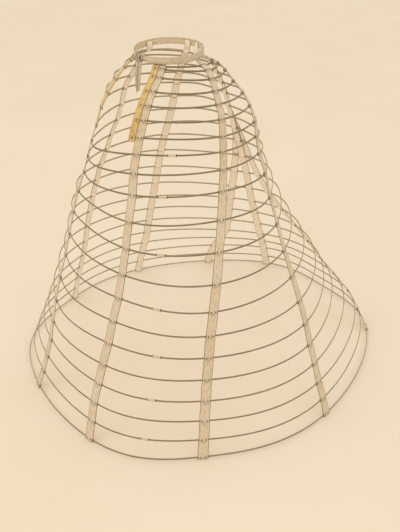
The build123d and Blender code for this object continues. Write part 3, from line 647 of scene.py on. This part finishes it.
def sample_knots(K):
    """K: knots with c, T, n, w, and rn/rv/sag where a hoop crosses. Rows along the path."""
    P = [k["c"] for k in K]
    S = [0.0]
    for a, b in zip(P[:-1], P[1:]):
        S.append(S[-1] + (b - a).length)
    hoops = [(S[j], k) for j, k in enumerate(K) if k.get("rn") is not None]
    want = {round(s, 3): j for j, s in enumerate(S)}
    for s, k in hoops:
        r = k["rv"]
        for d in (0.9, 1.8, r + 0.4, r + 1.4, r + 2.4, r + 3.2, r + 4.4, r + 6.5):
            for q in (s - d, s + d):
                if S[0] < q < S[-1]:
                    want.setdefault(round(q, 3), None)
    grid = sorted(want)
    full = [grid[0]]
    for q in grid[1:]:
        gap = q - full[-1]
        if gap < 0.35 and want[q] is None:
            continue
        k = int(gap // 6.0)
        for j in range(1, k + 1):
            full.append(full[-1] + gap / (k + 1))
        full.append(q)
    rows = []
    for q in full:
        k = max(j for j in range(len(S)) if S[j] <= q + 1e-6)
        k = min(k, len(S) - 2)
        t = min(1.0, max(0.0, (q - S[k]) / (S[k + 1] - S[k])))
        a, b = K[k], K[k + 1]
        u = t * t * (3 - 2 * t)
        T = (a["T"] * (1 - t) + b["T"] * t).normalized()
        n = (a["n"] * (1 - u) + b["n"] * u)
        n = (n - T * n.dot(T)).normalized()
        near = sorted(((abs(q - s), q - s, h) for s, h in hoops), key=lambda x: x[0])[:2]
        rows.append({"s": q, "c": hermite(P, S, k, t), "T": T, "n": n, "w": a["w"] * (1 - t) + b["w"] * t,
                     "sag": a.get("sag", 0) * (1 - u) + b.get("sag", 0) * u, "near": near})
    return rows, S


def tape_knots(name):
    degs = TAPES[name]
    lo = next(i for i in range(N) if degs[i] is not None)
    stand_off, end_off = STAND_OFF.get(name, ((), 0.0))
    K, above = [], None
    if lo == 0:
        (bx, by), bT, bn, bz = band_entry(crossing(degs, 0)[0], name)
        above = Vector((bx, by, bz - BAND_H / 2 - 0.6))
        for z in (bz + 4.0, bz - BAND_H / 2 - 0.9):
            K.append({"c": Vector((bx, by, z)), "T": bT, "n": bn, "w": tape_width(0)})
    for i in range(lo, N):
        p, T, V, n, rn, rv, st, sag = local_frame(degs, i, lo, above)
        w = tape_width(i) * st
        lift = stand_off[i - lo] if i - lo < len(stand_off) else 0.0
        c = p + n * (rn + TAPE_TH / 2 + 0.05 + lift)
        if i == lo and stand_off:
            K.append({"c": c - V * 14.0 + n * end_off, "T": T, "n": n, "w": w, "sag": sag})
        K.append({"c": c, "T": T, "n": n, "w": w, "rn": rn, "rv": rv, "sag": sag, "lift": lift, "bare": lift > 0, "i": i, "V": V})
        if i == N - 1:
            K.append({"c": c + V * (rv + POCKET_LIP), "T": T, "n": n, "w": w, "sag": sag})
    return K


def profile(row, th, lip, relief, width_gain):
    """Offsets of the two faces of a woven tape at a row, and its width there."""
    hump = dip = pinch = 0.0
    depth = 0.0
    for d, _, h in row["near"]:
        hump = max(hump, plateau(d, h["rv"] * 0.35, h["rv"] * 0.65 + 2.4))
        g = plateau(d, h["rv"] + 0.2, lip - 0.3)
        if h["bare"]:
            g = 0.0
        if g > dip:
            dip, depth = g, 2 * h["rn"] + 0.5 + h["lift"]
        pinch = max(pinch, math.exp(-(d / 4.5) ** 2))
    out = th * 0.5 - relief * (1 - hump)
    inn = -th * 0.5 - 0.25 - relief * (1 - hump) - dip * depth
    w = row["w"] * (1.0 - width_gain * pinch + 0.25 * width_gain * (1 - pinch))
    return out, inn, w


def strip_mesh(m, rows, th, lip, relief, gain, cols, seed, tone_fn, end_round=0.0, start_round=0.0, wave=0.22):
    grid, U, prev = [], [], None
    s0, s1 = rows[0]["s"], rows[-1]["s"]
    info = []
    for r in rows:
        out, inn, w = profile(r, th, lip, relief, gain)
        s = r["s"]
        quiet = 1.0 - max(plateau(d, h["rv"], 7.0) for d, _, h in r["near"]) if r["near"] else 1.0
        ripple = wave * quiet * math.sin(s / 11.0 + seed * 2.1)
        shift = 0.25 * quiet * math.sin(s / 17.0 + seed)
        thin = 1.0
        if end_round and s > s1 - end_round:
            k = (s - (s1 - end_round)) / end_round
            w *= math.sqrt(max(0.0, 1 - (k * 0.97) ** 2))
        if s > s1 - 1.2:
            thin = 0.25 + 0.75 * math.sqrt(max(0.0, 1 - ((s - (s1 - 1.2)) / 1.2) ** 2))
        mid = (out + inn) / 2
        out, inn = mid + (out - mid) * thin, mid + (inn - mid) * thin
        info.append((r, out, inn, w, shift, ripple))
        front, back = [], []
        for a in cols:
            e = 0.10 if abs(a) > 0.88 else 0.0
            if abs(a) == 1.0:
                e = -0.18
            curl = r["sag"] * a * a + ripple * math.sin(a * 2.2 + s / 23.0 + seed)
            base = r["c"] + r["T"] * (a * w / 2 + shift)
            front.append(base + r["n"] * (out + curl + e))
            back.append(base + r["n"] * (inn + curl - e * 0.7))
        grid.append(front + back[::-1])
        U.append(s * MM)
    U.append(U[-1])
    wm = sum(x[3] for x in info) / len(info)
    V = [a * wm / 2 * MM for a in cols] + [(2.4 - a) * wm / 2 * MM for a in cols[::-1]]
    V.append(V[0] + 4 * wm / 2 * MM)
    A = list(cols) + list(cols[::-1]) + [cols[0]]
    nc = len(cols)
    acr = list(cols) + list(cols[::-1])
    m.grid(grid, U, V, wrap_cols=True, caps=True, A=A,
           tone=lambda r, c: tone_fn(info[min(r, len(info) - 1)][0], acr[c], c < nc))
    return info


# painted shade and light on the tapes: shade where a hoop enters under the tape edges, a shadow under each hoop, dark
# creases at the hoop's upper and lower edges; light on the inner face
def tape_painted_shade_and_light(row, a, front):
    t = 0.0
    for d, sd, h in row["near"]:
        # painted shade at the tape edges where a hoop enters
        edge = plateau(abs(sd), 1.2, 2.6) * (0.95 if abs(a) > 0.93 else 0.55 if abs(a) > 0.8 else 0.0)
        # painted shadow under each hoop
        below = 0.0
        if sd > 0:
            below = 0.55 * plateau(abs(sd - h["rv"] - 2.6), 0.8, 4.2) * (0.65 + 0.35 * math.cos(a * 3.0))
        # painted shade in the creases along the hoop's lower and upper edges
        line = 0.45 * plateau(abs(sd - h["rv"] - 0.2), 0.3, 1.1)
        line2 = 0.30 * plateau(abs(sd + h["rv"] + 0.2), 0.3, 1.1)
        t = max(t, edge, below, line, line2)
    return t if front or t > 0.3 else -0.6      # painted light: the inner face is coloured paler


def surface_at(item, a, extra=0.0):
    r, out, inn, w, shift, ripple = item
    curl = r["sag"] * a * a
    return r["c"] + r["T"] * (a * w / 2 + shift) + r["n"] * (out + curl + extra)


rivets = Mesher()
pocket_stitches = Mesher()
HEAD = [(1.30, -0.35), (1.86, 0.02), (1.92, 0.16), (1.78, 0.34), (1.45, 0.56), (1.02, 0.74), (0.55, 0.85), (0.12, 0.89)]
tape_objects = {}
for t_i, name in enumerate(TAPES):
    K = tape_knots(name)
    rows, S = sample_knots(K)
    m = Mesher()
    info = strip_mesh(m, rows, 1.0, POCKET_LIP, 0.45, 0.075, COLS, t_i * 1.7, tape_painted_shade_and_light)
    ob = m.make(name + "_cloth", TAPE_MAT, name)
    tape_objects[name] = (ob, S[-1], K)
    for k in K:
        if k.get("rn") is None:
            continue
        if not k["bare"]:
            for s in (-0.22, 0.22):
                q = k["c"] + k["T"] * s * k["w"] + k["n"] * (TAPE_TH / 2 + 0.02 + k["sag"] * (2 * s) ** 2)
                rivets.lathe(q, k["n"], HEAD, 14)
        for sign in (-1, 1):
            want = k["rv"] + 2.4
            best = min(info, key=lambda it: min((abs(sd * sign - want) for d, sd, h in it[0]["near"] if h is k), default=99))
            err = min((abs(sd * sign - want) for d, sd, h in best[0]["near"] if h is k), default=99)
            if err > 0.6:
                continue
            w = best[3]
            cnt = max(4, int(w * 0.9 / 2.7))
            for j in range(cnt):
                a = -0.86 + 1.72 * (j + 0.5) / cnt
                pocket_stitches.grain(surface_at(best, a, 0.02), best[0]["T"], best[0]["n"].cross(best[0]["T"]), best[0]["n"], 1.9, 0.55, 0.24)
stitch_ob = pocket_stitches.make("pocket_stitching", THREAD_MAT, None)
rivet_ob = rivets.make("tape_rivet_heads", RIVET_MAT, "tape_rivets")

# ---------------------------------------------------------------- facings
FCOLS = (-1.0, -0.93, -0.82, -0.62, -0.36, 0.0, 0.36, 0.62, 0.82, 0.93, 1.0)
seams = Mesher()
facing_heads = Mesher()
for name, tape, side in (("left_facing", "front_left_tape", -1), ("right_facing", "front_right_tape", 1)):
    degs = TAPES[tape]
    full = tuple(arc_step(i, degs[i], side * (tape_width(i) / 2 + FACING_W / 2 + 0.4)) for i in range(N))
    (bx, by), bT, bn, bz = band_entry(crossing(full, 0)[0], name)
    above = Vector((bx, by, bz - BAND_H / 2 - 0.6))
    K = [{"c": Vector((bx, by, bz + 3.0)), "T": bT, "n": bn, "w": FACING_W},
         {"c": Vector((bx, by, bz - BAND_H / 2 - 1.2)), "T": bT, "n": bn, "w": FACING_W}]
    for i in range(OPEN_HOOPS):
        p, T, V, n, rn, rv, st, sag = local_frame(full, i, 0, above, FACING_W)
        c = p + n * (rn + FACING_TH / 2 + 0.05)
        K.append({"c": c, "T": T, "n": n, "w": FACING_W, "rn": rn, "rv": rv, "sag": sag, "lift": 0.0, "bare": True, "i": i, "V": V})
    K.append({"c": c + V * FACING_TAIL, "T": T, "n": n, "w": FACING_W, "sag": sag})
    rows, S = sample_knots(K)
    extra = []
    for r in rows:
        extra.append(r)
    for q in (0.35, 0.6, 0.78, 0.9, 0.97):
        s = S[-1] - 6.0 + 6.0 * q
        t = (s - S[-2]) / (S[-1] - S[-2])
        extra.append({"s": s, "c": K[-2]["c"] * (1 - t) + K[-1]["c"] * t, "T": T, "n": n, "w": FACING_W, "sag": sag, "near": [(s - S[-2], s - S[-2], K[-2])]})
    extra.sort(key=lambda r: r["s"])
    m = Mesher()

    # painted shade: darker bands on the leather just below and just above each hoop
    def leather_painted_shade(row, a, front):
        t = 0.0
        for d, sd, h in row["near"]:
            t = max(t, 0.5 * plateau(abs(sd - 3.4), 0.6, 3.0), 0.35 * plateau(abs(sd + 3.2), 0.4, 2.0))
        return t
    info = strip_mesh(m, extra, FACING_TH - 0.3, POCKET_LIP, 0.3, 0.02, FCOLS, 3.1 * side, leather_painted_shade, end_round=6.5, wave=0.1)
    ob = m.make(name + "_leather", LEATHER_MAT, name)
    for k in K:
        if k.get("rn") is not None:
            facing_heads.lathe(k["c"] + k["n"] * (FACING_TH / 2 + 0.0), k["n"], HEAD, 16)
            facing_heads.lathe(k["c"] - k["n"] * (FACING_TH / 2 + 2 * k["rn"] + 0.15), -k["n"], [(0.9, -0.2), (1.42, 0.02), (1.5, 0.2), (1.2, 0.4), (0.5, 0.5), (0.1, 0.52)], 14)
    last = -9.0
    for it in info:
        if it[0]["s"] - last >= 2.9 and it[0]["s"] < S[-1] - 3.5 and it[0]["s"] > 12:
            last = it[0]["s"]
            V = it[0]["n"].cross(it[0]["T"])
            for a in (-0.78, 0.78):
                seams.grain(surface_at(it, a, 0.03), V, it[0]["T"], it[0]["n"], 2.3, 0.6, 0.26)
seams_ob = seams.make("facing_stitching", SEAM_MAT, None)
fhead_ob = facing_heads.make("facing_rivet_heads", RIVET_MAT, "facing_rivets")

# ---------------------------------------------------------------- sleeves
sl = Mesher()
sleeve_sec = []
for k in range(20):
    t = 2 * math.pi * k / 20
    c, s = math.cos(t), math.sin(t)
    sleeve_sec.append((math.copysign(abs(c) ** 0.5, c), math.copysign(abs(s) ** 0.5, s)))
for i, deg in SLEEVED.items():
    half = SLEEVE_L / 2
    rows, U, end_and_crimp_shade = [], [], []
    for s in (-half, -half, -half + 0.5, -half + 1.3, -half + 2.0, -half + 2.6, -7.4, -6.2, -5.0, -3.8, -2.4, -0.8,
              0.8, 2.4, 3.8, 5.0, 6.2, 7.4, half - 2.6, half - 2.0, half - 1.3, half - 0.5, half, half):
        d = arc_step(i, deg, s) if s else deg
        (x, y), (tx, ty) = LOOPS[i].at(d)
        crimp = 0.55 * math.exp(-((abs(s) - 5.6) / 1.1) ** 2)
        rim = 0.18 * math.exp(-((abs(s) - half + 0.7) / 0.7) ** 2)
        ha = HOOP_T / 2 + SLEEVE_WALL - crimp + rim
        hb = SLEEVE_H / 2 - crimp * 0.5 + rim
        if abs(s) == half:
            ha, hb = (HOOP_T / 2 + 0.05, HOOP_H / 2 + 0.05) if (len(rows) in (0, 23)) else (ha - 0.25, hb - 0.25)
        rows.append([(x + ty * a * ha, y - tx * a * ha, HOOPS[i][0] + b * hb) for a, b in sleeve_sec])
        U.append(s * MM)
        # dark at both ends; painted shade in the crimp grooves
        end_and_crimp_shade.append(1.0 if abs(s) > half - 1.7 else 0.25 * math.exp(-((abs(s) - 5.6) / 0.8) ** 2))
    U.append(U[-1])
    V = [0.001 * k for k in range(21)]
    sl.grid(rows, U, V, wrap_cols=True, caps=True, tone=lambda r, c: end_and_crimp_shade[min(r, len(end_and_crimp_shade) - 1)])
sleeve_ob = sl.make("crimped_sleeves", SLEEVE_MAT, "hoop_sleeves")

# ---------------------------------------------------------------- waistband
gap = math.degrees(BAND_GAP / 2 / BAND_A)
band = Mesher()
NB = 260
side_pts = []
for k in range(9):
    b = -1 + 2 * k / 8
    side_pts.append(b)
rows, U, prev, s = [], [], None, 0.0
band_info = []
for k in range(NB + 1):
    th = gap + (360 - 2 * gap) * k / NB
    p, d = band_at(th)
    if prev:
        s += math.hypot(p[0] - prev[0], p[1] - prev[1])
    prev = p
    U.append(s * MM)
    band_info.append((th, p, d, s))
total = s
for th, p, d, s in band_info:
    e = min(s, total - s)
    pull = math.exp(-e / 15.0)
    hh = BAND_H / 2 * (1 - 0.30 * pull)
    n = Vector((d[1], -d[0], 0))
    row = []
    drape = 0.35 * math.sin(s / 31.0) + 0.2 * math.sin(s / 12.0 + 1.0)

    def wr(b, s=s, pull=pull):
        return 0.9 * pull * math.sin(b * 7.0 + s / 9.0) + 0.16 * math.sin(b * 3.0 + s / 19.0) + 0.10 * math.sin(b * 9.0 - s / 13.0)
    outer = [(b, 0.0 + wr(b) + 0.35 * (1 - b * b) - (0.22 if 0.7 < abs(b) < 0.8 else 0.0)) for b in (-0.93, -0.84, -0.75, -0.62, -0.40, -0.15, 0.0, 0.15, 0.40, 0.62, 0.75, 0.84, 0.93)]
    inner = [(b, -BAND_T + wr(b) * 0.8 - 0.1 * (1 - b * b) + (0.18 if 0.7 < abs(b) < 0.8 else 0.0)) for b in (0.93, 0.84, 0.75, 0.5, 0.2, 0.0, -0.2, -0.5, -0.75, -0.84, -0.93)]
    ring = outer + [(0.985, -0.35), (1.0, -BAND_T / 2), (0.985, -BAND_T + 0.35)] + inner + [(-0.985, -BAND_T + 0.35), (-1.0, -BAND_T / 2), (-0.985, -0.35)]
    for b, o in ring:
        q = Vector((p[0], p[1], 0)) + n * o + Vector((0, 0, b * hh + drape * 0.6))
        row.append(TILT @ q)
    rows.append(row)
V = [0.0]
for a, b in zip(rows[40], rows[40][1:] + rows[40][:1]):
    V.append(V[-1] + (a - b).length * MM)
U.append(U[-1])


def band_edge_and_painted_shade(r, c):
    b, _ = ring[c]
    e = min(band_info[min(r, NB)][3], total - band_info[min(r, NB)][3])
    # darker along the top and bottom edges; painted shade in the stitched grooves and in the gathers near the ends
    t = 0.55 if abs(b) > 0.98 else (0.28 if 0.7 < abs(b) < 0.8 else 0.0)
    return min(1.0, t + 0.75 * math.exp(-e / 10.0))


band.grid(rows, U, V, wrap_cols=True, caps=True, tone=band_edge_and_painted_shade)
band_ob = band.make("waistband_cloth", BAND_MAT, "waistband")
bs = Mesher()
step = 3.3
k = 1
while k * step < total - 6:
    s = k * step
    j = max(q for q in range(NB) if band_info[q][3] <= s)
    th, p, d, s_j = band_info[j]
    e = min(s, total - s)
    hh = BAND_H / 2 * (1 - 0.30 * math.exp(-e / 15.0))
    drape = 0.35 * math.sin(s_j / 31.0) + 0.2 * math.sin(s_j / 12.0 + 1.0)
    n = Vector((d[1], -d[0], 0))
    for b in (-0.75, 0.75):
        for o, sgn in ((0.05, 1), (-BAND_T - 0.0, -1)):
            q = Vector((p[0], p[1], 0)) + n * o + Vector((0, 0, b * hh + drape * 0.6))
            bs.grain(TILT @ q, TILT @ Vector((d[0], d[1], 0)), Vector((0, 0, 1)), n * sgn, 2.4, 0.6, 0.3)
    k += 1
bs_ob = bs.make("waistband_stitching", THREAD_MAT, None)


# ---------------------------------------------------------------- knot and tail
def ribbon(m, path, width, thick, side_fn, normal_fn, fold_fn, n_rows=60, n_cols=15, closed=False, length_fn=None, tone_fn=None):
    """a strip of cloth along path(t), t 0..1; fold_fn(a, t) lifts it along its normal"""
    cols = [-1 + 2 * k / (n_cols - 1) for k in range(n_cols)]
    rows, U = [], []
    R = n_rows if closed else n_rows + 1
    L, prev = 0.0, None
    for r in range(R):
        t = r / n_rows
        front, back = [], []
        for a in cols:
            tt = t * (length_fn(a) if length_fn else 1.0)
            c = path(tt)
            S_ = side_fn(tt).normalized()
            n_ = normal_fn(tt).normalized()
            w = width(tt)
            f = fold_fn(a, tt)
            e = 0.6 if abs(a) > 0.99 else 1.0
            front.append(c + S_ * a * w / 2 + n_ * (f + thick / 2 * e))
            back.append(c + S_ * a * w / 2 + n_ * (f - thick / 2 * e))
        rows.append(front + back[::-1])
        c = path(t)
        if prev is not None:
            L += (c - prev).length
        prev = c
        U.append(L * MM)
    U.append(L * MM * (1 + 1 / n_rows))
    w = width(0.5)
    V = [a * w / 2 * MM for a in cols] + [(2.4 - a) * w / 2 * MM for a in cols[::-1]]
    V.append(V[0])
    both = cols + cols[::-1]
    m.grid(rows, U, V, wrap_rows=closed, wrap_cols=True, caps=not closed,
           tone=(lambda r, c: tone_fn(both[c], min(r, R - 1) / n_rows)) if tone_fn else None)
    return L


KC = Vector((2.0, -BAND_B - 3.2, band_z(0, -BAND_B) - 2.0))
knot = Mesher()
tie_len = 0.0
for x0, ry, rz, w, tilt, dz, ph in ((8.0, 5.6, 8.3, 7.6, 0.22, -0.6, 0.0), (0.6, 6.2, 9.1, 8.4, -0.10, 0.2, 1.3), (-7.0, 5.4, 8.0, 7.4, 0.30, 0.8, 2.4)):
    ax = Vector((1, 0, tilt)).normalized()

    def loop_path(t, x0=x0, ry=ry, rz=rz, dz=dz, tilt=tilt, ph=ph):
        q = 2 * math.pi * t
        c, s = math.cos(q), math.sin(q)
        y = ry * math.copysign(abs(c) ** 0.85, c)
        z = rz * math.copysign(abs(s) ** 0.85, s)
        return KC + Vector((x0 - tilt * z, y, dz + z + tilt * x0 * 0.2))

    def loop_normal(t, ry=ry, rz=rz):
        q = 2 * math.pi * t
        return Vector((0, math.cos(q) / ry, math.sin(q) / rz))
    # tone_fn paints shade: darker toward the loop edges, in the ripple troughs, and a little all over
    tie_len += ribbon(knot, loop_path, lambda t, w=w: w, 1.5, lambda t, ax=ax: ax, loop_normal,
                      lambda a, t, ph=ph: -1.5 * a * a + 0.42 * math.sin(a * 6.5 + ph + 2.0 * math.sin(2 * math.pi * t)),
                      72, 15, closed=True,
                      tone_fn=lambda a, t, ph=ph: min(1.0, 0.25 + 0.95 * abs(a) ** 3 + 0.25 * (0.5 + 0.5 * math.sin(a * 6.5 + ph + 2.0 * math.sin(2 * math.pi * t) + math.pi))))
for sx in (-1, 1):
    A0 = Vector((sx * 15.5, -BAND_B + 0.2, band_z(sx * 15.5, -BAND_B)))
    A1 = KC + Vector((sx * 2.0, -0.5, 0))

    def strand(t, A0=A0, A1=A1):
        u = t * t * (3 - 2 * t)
        return A0 * (1 - u) + A1 * u + Vector((0, -2.2 * math.sin(math.pi * t), 0))
    # tone_fn paints shade that deepens toward the knot
    tie_len += ribbon(knot, strand, lambda t: 12.5 - 4.0 * t, 2.0, lambda t: Vector((0, 0.12, 1)), lambda t, sx=sx: Vector((0.2 * sx, -1, 0.1)),
                      lambda a, t: 0.8 * math.sin(a * 8.0) * t + 0.2, 22, 15, tone_fn=lambda a, t: min(1.0, 0.2 + 0.8 * t))
knot_ob = knot.make("waist_knot_cloth", TIE_MAT, "waist_knot")

tail = Mesher()
TP = [Vector(p) for p in ((9.0, -93.5, -11.0), (17.0, -96.5, -21.0), (18.4, -100.5, -36.0), (19.3, -104.2, -52.0), (23.4, -107.5, -68.0), (27.0, -110.5, -87.0))]
TS = [0.0]
for a, b in zip(TP[:-1], TP[1:]):
    TS.append(TS[-1] + (b - a).length)


def tail_path(t):
    q = t * TS[-1]
    k = min(max(j for j in range(len(TS)) if TS[j] <= q + 1e-6), len(TS) - 2)
    u = (q - TS[k]) / (TS[k + 1] - TS[k])
    P = TP
    h = TS[k + 1] - TS[k]

    def sl_(j):
        if j == 0:
            return (P[1] - P[0]) / (TS[1] - TS[0])
        if j == len(P) - 1:
            return (P[-1] - P[-2]) / (TS[-1] - TS[-2])
        return (P[j + 1] - P[j - 1]) / (TS[j + 1] - TS[j - 1])
    m0, m1 = sl_(k) * h, sl_(k + 1) * h
    return P[k] * (2 * u ** 3 - 3 * u * u + 1) + m0 * (u ** 3 - 2 * u * u + u) + P[k + 1] * (-2 * u ** 3 + 3 * u * u) + m1 * (u ** 3 - u * u)


def tail_side(t):
    f = math.radians(41 - 6 * t)
    return Vector((math.cos(f), math.sin(f), 0.06))


def tail_normal(t):
    f = math.radians(41 - 6 * t)
    return Vector((math.sin(f), -math.cos(f), 0.12))


def tail_width(t):
    return (8.4 + 5.4 * min(1.0, t / 0.28) ** 0.8) * (1.0 - 0.42 * max(0.0, (t - 0.62) / 0.38) ** 1.3)


def tail_fold(a, t):
    k = min(1.0, t / 0.2)
    return k * (2.6 * abs(a + 0.25) - 1.2) + 0.35 * math.sin(a * 5 + t * 9)


def tail_len(a):
    if a < 0.35:
        return 1.0 - 0.14 * (a + 1) / 1.35
    return 0.86 + 0.06 * (a - 0.35) / 0.65


# tone_fn paints shade: dark edges, a dark line along the crease, the half beyond the crease shaded, and darker at the
# top under the knot
tail_L = ribbon(tail, tail_path, tail_width, 1.1, tail_side, tail_normal, tail_fold, 60, 21, length_fn=tail_len,
                tone_fn=lambda a, t: min(1.0, (0.95 if abs(a) > 0.94 else 0.0) + 0.7 * math.exp(-((a + 0.25) / 0.10) ** 2) + 0.25 * (a < -0.25) + 0.5 * math.exp(-t / 0.08)))
tail_ob = tail.make("tie_tail_cloth", TIE_MAT, "tie_tail")

# ---------------------------------------------------------------- widest tape widths, worked out and not used
for name, (ob, L, K) in tape_objects.items():
    ws = [k["w"] for k in K]
    w = max(ws)

# ---------------------------------------------------------------- floor, light, camera
floor_me = bpy.data.meshes.new("floor")
fz = cad_lo.z - 0.0006
floor_me.from_pydata([(-16, -16, fz), (16, -16, fz), (16, 16, fz), (-16, 16, fz)], [], [(0, 1, 2, 3)])
floor = bpy.data.objects.new("floor", floor_me)
bpy.context.scene.collection.objects.link(floor)
fm = Nodes("pale_floor")
cloud = fm.noise(fm.place(), 1.1, 3.0)
fm.put(fm.bsdf.inputs["Base Color"], fm.ramp(cloud, [(0.3, srgb(235, 220, 196)), (0.7, srgb(239, 224, 202))]))
fm.bsdf.inputs["Roughness"].default_value = 0.95
fm.bsdf.inputs["Specular IOR Level"].default_value = 0.1
floor_me.materials.append(fm.mat)

world = bpy.data.worlds.new("studio")
world.use_nodes = True
world.node_tree.nodes["Background"].inputs[0].default_value = (*srgb(255, 250, 242), 1.0)
world.node_tree.nodes["Background"].inputs[1].default_value = 1.0
bpy.context.scene.world = world


def area_light(name, loc, target, size, power, col=(1, 1, 1)):
    data = bpy.data.lights.new(name, "AREA")
    data.shape = "DISK"
    data.size = size
    data.energy = power
    data.color = col
    ob = bpy.data.objects.new(name, data)
    ob.location = loc
    ob.rotation_euler = (Vector(target) - Vector(loc)).to_track_quat("-Z", "Y").to_euler()
    bpy.context.scene.collection.objects.link(ob)
    return ob


area_light("key", (-0.9, -2.6, 2.4), (0, 0, -0.5), 2.6, 13.0, (1.0, 0.97, 0.92))
area_light("fill", (2.6, -1.5, 1.3), (0, 0, -0.5), 3.0, 8.0, (1.0, 0.985, 0.955))

bpy.context.scene.view_settings.view_transform = "Standard"

az, dip = math.radians(55.1), math.radians(29.9)
ahead = Vector((-math.sin(az) * math.cos(dip), math.cos(az) * math.cos(dip), -math.sin(dip)))
right = Vector((math.cos(az), math.sin(az), 0.0))
up = right.cross(ahead)
cam_data = bpy.data.cameras.new("camera")
cam = bpy.data.objects.new("camera", cam_data)
bpy.context.scene.collection.objects.link(cam)
rot = Matrix((right, up, -ahead)).transposed().to_4x4()
cam.matrix_world = Matrix.Translation(Vector((1.4287, -0.8963, 0.3259))) @ rot
cam_data.sensor_width = 36.0
cam_data.sensor_height = 36.0
cam_data.sensor_fit = "AUTO"
cam_data.lens = 43.12
cam_data.shift_x = -1.2 / 532
cam_data.shift_y = 3.0 / 532
cam_data.clip_start = 0.05
cam_data.clip_end = 80.0
bpy.context.scene.camera = cam
